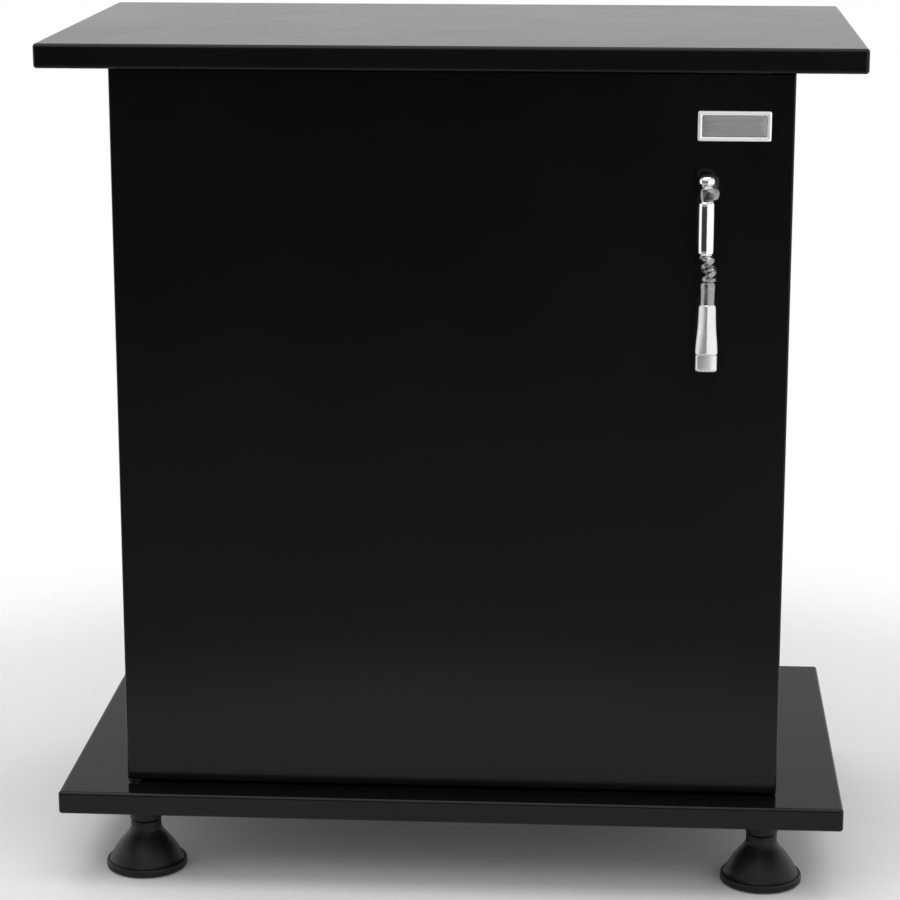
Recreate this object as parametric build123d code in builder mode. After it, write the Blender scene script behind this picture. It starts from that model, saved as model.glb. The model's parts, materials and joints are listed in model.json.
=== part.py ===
"""Aquarium cabinet stand: two overhanging boards, a carcass with one pivot-hung door, four screw feet.

Millimetres. Origin on the floor under the middle of the stand, +Z up, the door faces -Y.
"""

import os
from math import pi, sin

from build123d import *

os.makedirs("parts", exist_ok=True)

# ---- driving dimensions -------------------------------------------------------------------------

WIDTH = 600.0  # top and base boards, left to right
DEPTH = 350.0  # top and base boards, front to back
BOARD = 18.0  # thickness of every laminated board
FOOT_HEIGHT = 60.0  # floor to the underside of the base board
SIDE_HEIGHT = 554.0  # clear height between base board and top board
BODY_WIDTH = 500.0  # outside of one side panel to the outside of the other
RECESS = 25.0  # the body stands this far behind the boards' front and rear edges
BOARD_EDGE = 2.5  # rounding of the boards' edges
PANEL_EDGE = 0.8  # rounding of the carcass panels' long edges
DOOR_FRONT_EDGE = 1.5
DOOR_REAR_EDGE = 0.6
FIXED_GAP = 0.05  # radial room of a pin, screw or dowel that is fixed in its hole
END_GAP = 0.5  # room beyond the end of a pin, bolt or dowel in its hole

DOOR_GAP = 2.0  # between the closed door and the carcass
DOOR_CLEARANCE = 2.5  # above and below the door
PIVOT_INSET = 5.0  # pivot axis from the door's left edge

FOOT_INSET = 50.0  # foot axis from the boards' front and rear edges

# ---- derived levels and planes ------------------------------------------------------------------

BASE_TOP = FOOT_HEIGHT + BOARD
TOP_UNDER = BASE_TOP + SIDE_HEIGHT
HEIGHT = TOP_UNDER + BOARD

BODY_X = BODY_WIDTH / 2
INNER_X = BODY_X - BOARD
SIDE_MID_X = BODY_X - BOARD / 2

DOOR_FRONT_Y = -DEPTH / 2 + RECESS
DOOR_BACK_Y = DOOR_FRONT_Y + BOARD
CARCASS_FRONT_Y = DOOR_BACK_Y + DOOR_GAP
CARCASS_BACK_Y = DEPTH / 2 - RECESS
DOOR_Z0 = BASE_TOP + DOOR_CLEARANCE
DOOR_Z1 = TOP_UNDER - DOOR_CLEARANCE

PIVOT_X = -BODY_X + PIVOT_INSET
PIVOT_Y = (DOOR_FRONT_Y + DOOR_BACK_Y) / 2

FOOT_X = SIDE_MID_X
FOOT_Y = DEPTH / 2 - FOOT_INSET

# ---- knock-down fittings ------------------------------------------------------------------------

CAM_RADIUS = 7.5
CAM_DEPTH = 12.5
CAM_GAP = 0.1
CAM_SET_BACK = 0.2  # cam face behind the panel's face
CAM_SLOT = (9.0, 1.6, 2.0)  # length, width and depth of its screwdriver cross
CAM_FROM_END = 34.0  # cam centre from the side panel's end
CAM_YS = (-85.0, 105.0)
BOLT_RADIUS = 3.5
BOLT_IN_BOARD = 11.0
BOLT_HOLE = 4.0
BOLT_PASSAGE = 3.7  # in the cam
BOLT_HEAD_BACK = 3.0  # bolt end before the cam's centre
BOLT_PASSAGE_START = 2.0
DOWEL_RADIUS = 4.0
DOWEL_HALF = 12.0
DOWEL_YS = (-45.0, 65.0)

# ---- shelf --------------------------------------------------------------------------------------

SHELF_T = 16.0
SHELF_SIDE_GAP = 1.0
SHELF_EDGE = 1.0
SHELF_Y0 = -112.0
SHELF_Y1 = 126.0
PIN_RADIUS = 2.5
PIN_HOLE_DEPTH = 10.0
PIN_PITCH = 32.0
PIN_ROWS = 7
PIN_ROW_USED = 2
PIN_Z0 = BASE_TOP + 200.0
PIN_YS = (-93.0, 107.0)
PIN_STUB_RADIUS = 3.0
PIN_STUB = 8.0
PIN_Z = PIN_Z0 + PIN_ROW_USED * PIN_PITCH
SHELF_Z0 = PIN_Z + PIN_STUB_RADIUS

# ---- rear panels and rails ----------------------------------------------------------------------

BACK_T = 16.0
BACK_INSET = 2.0
SLOT_Z0 = 500.0  # hose and cable slot between rear panel and rear rail
RAIL_HEIGHT = 70.0
RAIL_Z0 = TOP_UNDER - RAIL_HEIGHT

# ---- door furniture -----------------------------------------------------------------------------

HANDLE_X = 189.0
BAR_X = HANDLE_X - 2.5  # the bar stands a little nearer the middle of the door
HANDLE_Z0 = 413.5
HANDLE_LENGTH = 144.0
HANDLE_CENTRES = 128.0
HANDLE_REACH = 20.0  # door face to the bar's centre line
HANDLE_BOW = 3.0  # how far the bar's ends sit back from its middle
FOOT_BLOCK = 16.0  # height of the handle's lower foot
HANDLE_LOW_Z = HANDLE_Z0 + (HANDLE_LENGTH - HANDLE_CENTRES) / 2
HANDLE_POST_ZS = (HANDLE_LOW_Z, HANDLE_LOW_Z + HANDLE_CENTRES)
HANDLE_SCREW_RADIUS = 2.0
HANDLE_SCREW_DEPTH = 10.0  # threaded hole in the handle
HANDLE_SCREW_HEAD = (4.0, 1.5)  # radius and height
HANDLE_SCREW_SLOT = (6.0, 1.0, 0.8)  # length, width and depth
HANDLE_CLEARANCE = 0.25
HANDLE_Y = DOOR_FRONT_Y - HANDLE_REACH
HANDLE_TOP = HANDLE_Z0 + HANDLE_LENGTH
BLADE_TOP = HANDLE_Z0 + 66.0
KNOT_TOP = HANDLE_Z0 + 87.0
BAR_TOP = HANDLE_TOP - 20.0
BAR_MIDDLE = (BAR_TOP + KNOT_TOP) / 2
KNOT_MIDDLE = (KNOT_TOP + BLADE_TOP) / 2
BLADE_WAIST = HANDLE_Z0 + 40.0
BAR_SECTIONS = ((BAR_TOP, 12.0, 8.4), (BAR_MIDDLE, 11.0, 8.0), (KNOT_TOP, 11.0, 8.0))  # z, width, depth
KNOT_SECTIONS = ((KNOT_TOP, 9.0, 7.0), (KNOT_MIDDLE, 14.5, 9.0), (BLADE_TOP, 9.0, 7.0))
BLADE_SECTIONS = ((HANDLE_Z0 + FOOT_BLOCK, 17.0, 7.0), (BLADE_WAIST, 14.0, 7.0), (BLADE_TOP, 11.0, 7.0))
HANDLE_FEET = ((HANDLE_Z0, HANDLE_Z0 + FOOT_BLOCK, 17.0), (BAR_TOP, HANDLE_TOP, 13.0))  # z0, z1, width
HANDLE_FOOT_REACH = 3.5  # the feet's front face ahead of the centre line
HANDLE_CORNER = 2.5
BADGE = (53.0, 21.7, 1.2)
BADGE_X = 206.5
BADGE_Z = 591.5
BADGE_RIM = 3.0
BADGE_RIM_HEIGHT = 0.6
BADGE_CORNERS = (1.2, 1.0)  # outer and inner radius of the rim

# ---- feet ---------------------------------------------------------------------------------------

STUD_RADIUS = 5.0
STUD_FIT = 0.05
SOCKET_RADIUS = 12.5
SOCKET_LENGTH = 20.0
FLANGE_RADIUS = 23.0
FLANGE_T = 3.0
BELL_RADIUS = 31.5
BELL_RIM_TOP = 7.5
BELL_NECK_RADIUS = 12.0
BELL_FLARE_TOP = 34.0
BELL_TOP = FOOT_HEIGHT - SOCKET_LENGTH - 0.5
BELL_BOTTOM = 1.2
BELL_RIM = 1.0  # width of the rim under the bell, and its lower rounding
BELL_SHOULDER = 1.5
BELL_WAIST = (6.2, 17.0)  # a point of the flare, out from the neck and up from the rim
BELL_NECK_CHAMFER = 0.8
BELL_FLANK = (-1.0, 1.5)  # direction of the flank where it leaves the rim
PAD_RADIUS = 25.0
PAD_T = 4.0
PAD_EDGE = 0.8
PAD_RECESS_GAP = 0.3  # above the pad, inside the bell
PAD_SPIGOT = 4.0
PAD_SPIGOT_TOP = 12.0
FLANGE_SCREW_RING = 17.5
FLANGE_SCREW_START = 90.0
FLANGE_SCREW_TOP = 72.0
STUD_TOP = 72.0
STUD_CLEARANCE = 6.5
SCREW_HEAD = (3.2, 1.6)  # radius and height
FLANGE_SCREWS = 3
SCREW_CLEARANCE = 0.1
SOCKET_EDGE = 1.0
STUD_TIP = 1.0
STUD_END_ROOM = 2.0
SOCKET_Z0 = FOOT_HEIGHT - SOCKET_LENGTH
FLANGE_Z0 = FOOT_HEIGHT - FLANGE_T
STUD_Z0 = 18.0

# ---- pivots of the door -------------------------------------------------------------------------

BUSH_BORE = 3.05
BUSH_POCKET = 11.5
BUSH_RADIUS = 4.5
BUSH_DEPTH = 10.5
BUSH_FLANGE = 6.0
BUSH_FLANGE_T = 1.2
PIN_LENGTH = 11.5
PIVOT_PIN_RADIUS = 3.0
PLATE_LENGTH = 60.0
PLATE_WIDTH = 12.0
PLATE_T = 2.0
PLATE_X1 = -BODY_X + PLATE_LENGTH
PLATE_SCREWS = (22.0, 50.0)  # from the door's left edge
PLATE_SET_BACK = 0.5  # plate end from the door's left edge
PLATE_GAPS = (0.2, 0.1)  # room in the pocket, lengthwise and crosswise
COUNTERSINK = (3.4, 1.7)  # radius and depth
COUNTERSUNK_HEAD = (3.2, 1.5)
PIN_TIP = 0.6
THRUST_RADIUS = 4.5
THRUST_T = 1.0
WOOD_SCREW = 1.75
WOOD_SCREW_LENGTH = 22.0

# ---- magnetic catch -----------------------------------------------------------------------------

CATCH_X = (215.0, INNER_X)
CATCH_Y = (CARCASS_FRONT_Y + 0.5, CARCASS_FRONT_Y + 25.0)
CATCH_Z = (440.0, 486.0)
CATCH_SCREW_Z = (446.0, 480.0)
CATCH_SCREW_Y = sum(CATCH_Y) / 2
CATCH_SCREW_HOLE = 12.0
CATCH_SCREW_END = 11.0
CATCH_SCREW_HEAD = (3.2, 2.2)
CATCH_SCREW_RECESS = (3.5, 3.0)
CATCH_EDGE = 2.0
STRIKE_T = 1.2
STRIKE_X = (214.0, 231.0)
STRIKE_MARGIN = 3.0
POLE_YS = (CARCASS_FRONT_Y - 0.3, CARCASS_FRONT_Y + 6.0)
POLE_XS = (218.0, 225.0)
POLE_T = 2.0
POLE_Z = (CATCH_Z[0] + 9.0, CATCH_Z[1] - 9.0)
BUMPER_RADIUS = 4.5
BUMPER_T = 1.5
BUMPER_EDGE = 0.8
BUMPER_FROM_END = 20.0


def block(x0, x1, y0, y1, z0, z1, mode=Mode.ADD):
    """A box given by its limits, in the active part."""
    with Locations(((x0 + x1) / 2, (y0 + y1) / 2, (z0 + z1) / 2)):
        Box(x1 - x0, y1 - y0, z1 - z0, mode=mode)


def rod(x, y, z0, z1, radius, mode=Mode.ADD):
    """An upright cylinder between two levels, in the active part."""
    with Locations((x, y, z0)):
        Cylinder(radius, z1 - z0, align=(Align.CENTER, Align.CENTER, Align.MIN), mode=mode)


def rod_x(x0, x1, y, z, radius, mode=Mode.ADD):
    """A cylinder along X between two planes, in the active part."""
    with Locations(Location(((x0 + x1) / 2, y, z), (0, 90, 0))):
        Cylinder(radius, abs(x1 - x0), mode=mode)


def rod_y(x, y0, y1, z, radius, mode=Mode.ADD):
    """A cylinder along Y between two planes, in the active part."""
    with Locations(Location((x, (y0 + y1) / 2, z), (90, 0, 0))):
        Cylinder(radius, abs(y1 - y0), mode=mode)


# ---- boards -------------------------------------------------------------------------------------


def foot_centres():
    """The four foot axes by corner name."""
    return {
        "front_left": (-FOOT_X, -FOOT_Y),
        "front_right": (FOOT_X, -FOOT_Y),
        "rear_left": (-FOOT_X, FOOT_Y),
        "rear_right": (FOOT_X, FOOT_Y),
    }


def board_fitting_holes(face_z, inward):
    """Blind holes for cam bolts and dowels in a board's face that meets the side panels."""
    for x in (-SIDE_MID_X, SIDE_MID_X):
        for y in CAM_YS:
            rod(x, y, *sorted((face_z, face_z + inward * BOLT_IN_BOARD)), BOLT_RADIUS, Mode.SUBTRACT)
        for y in DOWEL_YS:
            rod(x, y, *sorted((face_z, face_z + inward * DOWEL_HALF)), DOWEL_RADIUS, Mode.SUBTRACT)


with BuildPart() as top_board:
    block(-WIDTH / 2, WIDTH / 2, -DEPTH / 2, DEPTH / 2, TOP_UNDER, HEIGHT)
    fillet(top_board.edges(), BOARD_EDGE)
    board_fitting_holes(TOP_UNDER, 1)
    rod(PIVOT_X, PIVOT_Y, TOP_UNDER, TOP_UNDER + BUSH_POCKET, BUSH_RADIUS, Mode.SUBTRACT)


with BuildPart() as base_board:
    block(-WIDTH / 2, WIDTH / 2, -DEPTH / 2, DEPTH / 2, FOOT_HEIGHT, BASE_TOP)
    fillet(base_board.edges(), BOARD_EDGE)
    board_fitting_holes(BASE_TOP, -1)
    rod(PIVOT_X, PIVOT_Y, BASE_TOP - BUSH_POCKET, BASE_TOP, BUSH_RADIUS, Mode.SUBTRACT)
    for foot_x, foot_y in foot_centres().values():
        rod(foot_x, foot_y, FOOT_HEIGHT, STUD_TOP + STUD_END_ROOM, STUD_CLEARANCE, Mode.SUBTRACT)
        with Locations((foot_x, foot_y, FOOT_HEIGHT)):
            with PolarLocations(FLANGE_SCREW_RING, FLANGE_SCREWS, FLANGE_SCREW_START):
                Cylinder(
                    WOOD_SCREW,
                    FLANGE_SCREW_TOP - FOOT_HEIGHT,
                    align=(Align.CENTER, Align.CENTER, Align.MIN),
                    mode=Mode.SUBTRACT,
                )

# ---- side panels --------------------------------------------------------------------------------

with BuildPart() as side_panel_plain:
    block(INNER_X, BODY_X, CARCASS_FRONT_Y, CARCASS_BACK_Y, BASE_TOP, TOP_UNDER)
    fillet(side_panel_plain.edges().filter_by(Axis.Z), PANEL_EDGE)
    for end, up in ((BASE_TOP, 1), (TOP_UNDER, -1)):
        for y in CAM_YS:
            cam_z = end + up * CAM_FROM_END
            rod_x(INNER_X, INNER_X + CAM_DEPTH + END_GAP, y, cam_z, CAM_RADIUS, Mode.SUBTRACT)
            rod(SIDE_MID_X, y, *sorted((end, cam_z)), BOLT_HOLE, Mode.SUBTRACT)
        for y in DOWEL_YS:
            rod(SIDE_MID_X, y, *sorted((end, end + up * DOWEL_HALF)), DOWEL_RADIUS, Mode.SUBTRACT)
    for y in PIN_YS:
        for row in range(PIN_ROWS):
            pin_z = PIN_Z0 + row * PIN_PITCH
            rod_x(INNER_X, INNER_X + PIN_HOLE_DEPTH, y, pin_z, PIN_RADIUS, Mode.SUBTRACT)

with BuildPart() as side_panel_left:
    add(side_panel_plain.part.mirror(Plane.YZ))

with BuildPart() as side_panel_right:
    add(side_panel_plain.part)
    for screw_z in CATCH_SCREW_Z:
        rod_x(INNER_X, INNER_X + CATCH_SCREW_HOLE, CATCH_SCREW_Y, screw_z, WOOD_SCREW, Mode.SUBTRACT)

# ---- rails, rear panel and shelf ----------------------------------------------------------------


def between_sides(y0, y1, z0, z1, radius=PANEL_EDGE, gap=0.0):
    """A board that spans the inside of the carcass."""
    with BuildPart() as board:
        block(-INNER_X + gap, INNER_X - gap, y0, y1, z0, z1)
        fillet(board.edges().filter_by(Axis.X), radius)
    return board


front_rail = between_sides(CARCASS_FRONT_Y, CARCASS_FRONT_Y + BOARD, RAIL_Z0, TOP_UNDER)
rear_rail = between_sides(
    CARCASS_BACK_Y - BACK_INSET - BACK_T, CARCASS_BACK_Y - BACK_INSET, RAIL_Z0, TOP_UNDER
)
rear_panel = between_sides(
    CARCASS_BACK_Y - BACK_INSET - BACK_T, CARCASS_BACK_Y - BACK_INSET, BASE_TOP, SLOT_Z0
)
shelf = between_sides(SHELF_Y0, SHELF_Y1, SHELF_Z0, SHELF_Z0 + SHELF_T, SHELF_EDGE, SHELF_SIDE_GAP)

with BuildPart() as shelf_pins:
    for side in (-1, 1):
        for y in PIN_YS:
            wall = side * INNER_X
            rod_x(wall, wall + side * (PIN_HOLE_DEPTH - END_GAP), y, PIN_Z, PIN_RADIUS)
            rod_x(wall, wall - side * PIN_STUB, y, PIN_Z, PIN_STUB_RADIUS)

# ---- knock-down fittings ------------------------------------------------------------------------


def side_ends():
    """Every place where a side panel meets a board: side, board face level, direction into the panel."""
    for side in (-1, 1):
        for end, up in ((BASE_TOP, 1), (TOP_UNDER, -1)):
            yield side, end, up


with BuildPart() as cam_locks:
    for side, end, up in side_ends():
        for y in CAM_YS:
            inner = side * INNER_X
            cam_z = end + up * CAM_FROM_END
            rod_x(inner + side * CAM_SET_BACK, inner + side * CAM_DEPTH, y, cam_z, CAM_RADIUS - CAM_GAP)
            for length, width in (CAM_SLOT[:2], CAM_SLOT[1::-1]):
                slot_x = sorted((inner, inner + side * CAM_SLOT[2]))
                block(
                    *slot_x, y - length / 2, y + length / 2, cam_z - width / 2, cam_z + width / 2,
                    mode=Mode.SUBTRACT,
                )
            bolt_way = sorted((cam_z - up * BOLT_PASSAGE_START, cam_z - up * (CAM_RADIUS + CAM_GAP)))
            rod(side * SIDE_MID_X, y, *bolt_way, BOLT_PASSAGE, Mode.SUBTRACT)

with BuildPart() as cam_bolts:
    for side, end, up in side_ends():
        for y in CAM_YS:
            tip = end - up * (BOLT_IN_BOARD - END_GAP)
            bolt = sorted((tip, end + up * (CAM_FROM_END - BOLT_HEAD_BACK)))
            rod(side * SIDE_MID_X, y, *bolt, BOLT_RADIUS - FIXED_GAP)

with BuildPart() as dowels:
    for side, end, up in side_ends():
        for y in DOWEL_YS:
            dowel = (end - DOWEL_HALF + END_GAP, end + DOWEL_HALF - END_GAP)
            rod(side * SIDE_MID_X, y, *dowel, DOWEL_RADIUS - FIXED_GAP)

# ---- door ---------------------------------------------------------------------------------------


with BuildPart() as door_panel:
    block(-BODY_X, BODY_X, DOOR_FRONT_Y, DOOR_BACK_Y, DOOR_Z0, DOOR_Z1)
    fillet(door_panel.faces().sort_by(Axis.Y)[0].edges(), DOOR_FRONT_EDGE)
    fillet(door_panel.faces().sort_by(Axis.Y)[-1].edges(), DOOR_REAR_EDGE)
    for end, inward in ((DOOR_Z0, 1), (DOOR_Z1, -1)):
        pocket = sorted((end, end + inward * PLATE_T))
        pocket_y = (PIVOT_Y - PLATE_WIDTH / 2, PIVOT_Y + PLATE_WIDTH / 2)
        block(-BODY_X - DOOR_FRONT_EDGE, PLATE_X1, *pocket_y, *pocket, mode=Mode.SUBTRACT)
        for offset in PLATE_SCREWS:
            hole = sorted((end, end + inward * (WOOD_SCREW_LENGTH + END_GAP)))
            rod(-BODY_X + offset, PIVOT_Y, *hole, WOOD_SCREW, Mode.SUBTRACT)
    through = HANDLE_SCREW_RADIUS + HANDLE_CLEARANCE
    for post_z in HANDLE_POST_ZS:
        rod_y(HANDLE_X, DOOR_FRONT_Y, DOOR_BACK_Y, post_z, through, Mode.SUBTRACT)


def countersink(offset, end, up, wide, narrow, depth, mode=Mode.ADD):
    """A screw's cone in the door's end, widest at the surface; up points out of the door."""
    radii = (narrow, wide) if up > 0 else (wide, narrow)
    with Locations((-BODY_X + offset, PIVOT_Y, end - up * depth / 2)):
        Cone(*radii, depth, mode=mode)


def pivot_plate(end, up):
    """The steel plate let into the door's end, with its pivot pin; up points out of the door."""
    plate = sorted((end, end - up * PLATE_T))
    tip = end + up * PIN_LENGTH
    with BuildPart() as piece:
        block(
            -BODY_X + PLATE_SET_BACK, PLATE_X1 - PLATE_GAPS[0],
            PIVOT_Y - PLATE_WIDTH / 2 + PLATE_GAPS[1], PIVOT_Y + PLATE_WIDTH / 2 - PLATE_GAPS[1], *plate,
        )
        rod(PIVOT_X, PIVOT_Y, *sorted((end, end + up * THRUST_T)), THRUST_RADIUS)
        rod(PIVOT_X, PIVOT_Y, *sorted((end, tip)), PIVOT_PIN_RADIUS)
        chamfer(piece.edges().filter_by(GeomType.CIRCLE).sort_by(Axis.Z)[-1 if up > 0 else 0], PIN_TIP)
        for offset in PLATE_SCREWS:
            rod(-BODY_X + offset, PIVOT_Y, *plate, WOOD_SCREW, Mode.SUBTRACT)
            countersink(offset, end, up, COUNTERSINK[0], WOOD_SCREW, COUNTERSINK[1], Mode.SUBTRACT)
    return piece


def pivot_bush(face, up):
    """The nylon bush let into a board, which the door's pin turns in; up points into the board."""
    with BuildPart() as piece:
        rod(PIVOT_X, PIVOT_Y, *sorted((face, face + up * BUSH_DEPTH)), BUSH_RADIUS)
        rod(PIVOT_X, PIVOT_Y, *sorted((face, face - up * BUSH_FLANGE_T)), BUSH_FLANGE)
        bore = sorted((face - up * BUSH_FLANGE_T, face + up * BUSH_DEPTH))
        rod(PIVOT_X, PIVOT_Y, *bore, BUSH_BORE, Mode.SUBTRACT)
    return piece


pivot_plate_upper = pivot_plate(DOOR_Z1, 1)
pivot_plate_lower = pivot_plate(DOOR_Z0, -1)
pivot_bush_upper = pivot_bush(TOP_UNDER, 1)
pivot_bush_lower = pivot_bush(BASE_TOP, -1)

with BuildPart() as pivot_screws:
    for end, up in ((DOOR_Z0, -1), (DOOR_Z1, 1)):
        for offset in PLATE_SCREWS:
            shank = sorted((end - up * COUNTERSUNK_HEAD[1], end - up * WOOD_SCREW_LENGTH))
            rod(-BODY_X + offset, PIVOT_Y, *shank, WOOD_SCREW - FIXED_GAP)
            countersink(offset, end, up, COUNTERSUNK_HEAD[0], WOOD_SCREW - FIXED_GAP, COUNTERSUNK_HEAD[1])

# ---- handle -------------------------------------------------------------------------------------


def bow_y(z):
    """The handle's centre line: a shallow arch that stands furthest from the door at mid-height."""
    return HANDLE_Y + HANDLE_BOW * (1 - sin(pi * (z - HANDLE_Z0) / HANDLE_LENGTH))


with BuildPart() as handle:
    for z, width, depth in BAR_SECTIONS:
        with BuildSketch(Plane.XY.offset(z)):
            with Locations((BAR_X, bow_y(z))):
                Ellipse(width / 2, depth / 2)
    loft()
    for z, width, depth in KNOT_SECTIONS:
        with BuildSketch(Plane.XY.offset(z)):
            with Locations((HANDLE_X, bow_y(z))):
                Rectangle(width, depth)
    loft(ruled=True)
    for z, width, depth in BLADE_SECTIONS:
        with BuildSketch(Plane.XY.offset(z)):
            with Locations((HANDLE_X, bow_y(z))):
                RectangleRounded(width, depth, HANDLE_CORNER)
    loft()
    for z0, z1, width in HANDLE_FEET:
        outer_y = bow_y((z0 + z1) / 2) - HANDLE_FOOT_REACH
        with BuildSketch(Plane.XY.offset(z0)):
            with Locations((HANDLE_X, (DOOR_FRONT_Y + outer_y) / 2)):
                RectangleRounded(width, DOOR_FRONT_Y - outer_y, HANDLE_CORNER)
        extrude(amount=z1 - z0)
    for post_z in HANDLE_POST_ZS:
        thread_y = (DOOR_FRONT_Y, DOOR_FRONT_Y - HANDLE_SCREW_DEPTH)
        rod_y(HANDLE_X, *thread_y, post_z, HANDLE_SCREW_RADIUS, Mode.SUBTRACT)

with BuildPart() as handle_screws:
    head_radius, head_height = HANDLE_SCREW_HEAD
    slot_length, slot_width, slot_depth = HANDLE_SCREW_SLOT
    head_y = DOOR_BACK_Y + head_height
    tip_y = DOOR_FRONT_Y - HANDLE_SCREW_DEPTH + END_GAP
    for post_z in HANDLE_POST_ZS:
        rod_y(HANDLE_X, tip_y, DOOR_BACK_Y, post_z, HANDLE_SCREW_RADIUS - FIXED_GAP)
        rod_y(HANDLE_X, DOOR_BACK_Y, head_y, post_z, head_radius)
        slot_x = (HANDLE_X - slot_length / 2, HANDLE_X + slot_length / 2)
        slot_z = (post_z - slot_width / 2, post_z + slot_width / 2)
        block(*slot_x, head_y - slot_depth, head_y, *slot_z, Mode.SUBTRACT)

# ---- badge --------------------------------------------------------------------------------------

with BuildPart() as badge:
    badge_width, badge_height, badge_t = BADGE
    outer_corner, inner_corner = BADGE_CORNERS
    badge_plane = Plane(origin=(BADGE_X, DOOR_FRONT_Y, BADGE_Z), x_dir=(1, 0, 0), z_dir=(0, -1, 0))
    with BuildSketch(badge_plane):
        RectangleRounded(badge_width, badge_height, outer_corner)
    extrude(amount=badge_t)
    with BuildSketch(badge_plane.offset(badge_t)):
        RectangleRounded(badge_width, badge_height, outer_corner)
        panel = (badge_width - 2 * BADGE_RIM, badge_height - 2 * BADGE_RIM)
        RectangleRounded(*panel, inner_corner, mode=Mode.SUBTRACT)
    extrude(amount=BADGE_RIM_HEIGHT)

# ---- catch and bumpers --------------------------------------------------------------------------


with BuildPart() as catch_body:
    block(*CATCH_X, *CATCH_Y, *CATCH_Z)
    fillet(catch_body.edges().filter_by(Axis.X), CATCH_EDGE)
    for pole_x in POLE_XS:
        block(pole_x, pole_x + POLE_T, *POLE_YS, *POLE_Z, Mode.SUBTRACT)
    recess_radius, recess_depth = CATCH_SCREW_RECESS
    for screw_z in CATCH_SCREW_Z:
        rod_x(*CATCH_X, CATCH_SCREW_Y, screw_z, WOOD_SCREW + SCREW_CLEARANCE, Mode.SUBTRACT)
        recess_x = (CATCH_X[0], CATCH_X[0] + recess_depth)
        rod_x(*recess_x, CATCH_SCREW_Y, screw_z, recess_radius, Mode.SUBTRACT)

with BuildPart() as catch_poles:
    for pole_x in POLE_XS:
        block(pole_x, pole_x + POLE_T, *POLE_YS, *POLE_Z)

with BuildPart() as catch_screws:
    head_radius, head_height = CATCH_SCREW_HEAD
    seat_x = CATCH_X[0] + CATCH_SCREW_RECESS[1]
    for screw_z in CATCH_SCREW_Z:
        rod_x(seat_x - head_height, seat_x, CATCH_SCREW_Y, screw_z, head_radius)
        rod_x(seat_x, INNER_X + CATCH_SCREW_END, CATCH_SCREW_Y, screw_z, WOOD_SCREW - FIXED_GAP)


with BuildPart() as strike_plate:
    strike_z = (CATCH_Z[0] + STRIKE_MARGIN, CATCH_Z[1] - STRIKE_MARGIN)
    block(*STRIKE_X, DOOR_BACK_Y, DOOR_BACK_Y + STRIKE_T, *strike_z)
    fillet(strike_plate.edges().filter_by(Axis.Y), STRIKE_MARGIN)


with BuildPart() as door_bumpers:
    for bumper_z in (DOOR_Z0 + BUMPER_FROM_END, DOOR_Z1 - BUMPER_FROM_END):
        with BuildSketch(Plane.XZ.offset(-CARCASS_FRONT_Y)):
            with Locations((SIDE_MID_X, bumper_z)):
                Circle(BUMPER_RADIUS)
        extrude(amount=BUMPER_T)
    fillet(door_bumpers.faces().group_by(Axis.Y)[0].edges(), BUMPER_EDGE)

# ---- feet ---------------------------------------------------------------------------------------


def foot_socket(x, y):
    """The flanged collar screwed under the base board; the foot's stud turns in its bore."""
    with BuildPart() as piece:
        rod(x, y, FLANGE_Z0, FOOT_HEIGHT, FLANGE_RADIUS)
        rod(x, y, SOCKET_Z0, FLANGE_Z0, SOCKET_RADIUS)
        fillet(piece.edges().filter_by(GeomType.CIRCLE).group_by(Axis.Z)[0], SOCKET_EDGE)
        rod(x, y, SOCKET_Z0, FOOT_HEIGHT, STUD_RADIUS + STUD_FIT, Mode.SUBTRACT)
        with Locations((x, y, FLANGE_Z0)):
            with PolarLocations(FLANGE_SCREW_RING, FLANGE_SCREWS, FLANGE_SCREW_START):
                Cylinder(
                    WOOD_SCREW + SCREW_CLEARANCE,
                    FLANGE_T,
                    align=(Align.CENTER, Align.CENTER, Align.MIN),
                    mode=Mode.SUBTRACT,
                )
    return piece


def foot_bell(x, y):
    """The bell-shaped foot: rim, conical flank and neck, hollowed below for the pad."""
    recess_top = PAD_T + PAD_RECESS_GAP
    rim_inside = PAD_RADIUS + BELL_RIM
    with BuildPart() as piece:
        with BuildSketch(Plane.XZ):
            with BuildLine():
                Polyline(
                    (PAD_SPIGOT + STUD_FIT, recess_top),
                    (rim_inside, recess_top),
                    (rim_inside, BELL_BOTTOM),
                    (BELL_RADIUS - BELL_RIM, BELL_BOTTOM),
                    (BELL_RADIUS, BELL_BOTTOM + BELL_RIM),
                    (BELL_RADIUS, BELL_RIM_TOP - BELL_SHOULDER),
                    (BELL_RADIUS - BELL_SHOULDER, BELL_RIM_TOP),
                )
                Spline(
                    (BELL_RADIUS - BELL_SHOULDER, BELL_RIM_TOP),
                    (BELL_NECK_RADIUS + BELL_WAIST[0], BELL_RIM_TOP + BELL_WAIST[1]),
                    (BELL_NECK_RADIUS, BELL_FLARE_TOP),
                    tangents=(BELL_FLANK, (0, 1)),
                )
                Polyline(
                    (BELL_NECK_RADIUS, BELL_FLARE_TOP),
                    (BELL_NECK_RADIUS, BELL_TOP - BELL_NECK_CHAMFER),
                    (BELL_NECK_RADIUS - BELL_NECK_CHAMFER, BELL_TOP),
                    (STUD_RADIUS, BELL_TOP),
                    (STUD_RADIUS, STUD_Z0),
                    (PAD_SPIGOT + STUD_FIT, STUD_Z0),
                    (PAD_SPIGOT + STUD_FIT, recess_top),
                )
            make_face()
        revolve(axis=Axis.Z)
    return moved(piece, x, y)


def moved(piece, x, y):
    """The same sub-part on a foot's axis."""
    with BuildPart() as placed:
        with Locations((x, y, 0)):
            add(piece.part)
    return placed


def foot_stud(x, y):
    """The steel stud moulded into the bell."""
    with BuildPart() as piece:
        rod(x, y, STUD_Z0, STUD_TOP, STUD_RADIUS)
        chamfer(piece.edges().group_by(Axis.Z)[-1], STUD_TIP)
    return piece


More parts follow.
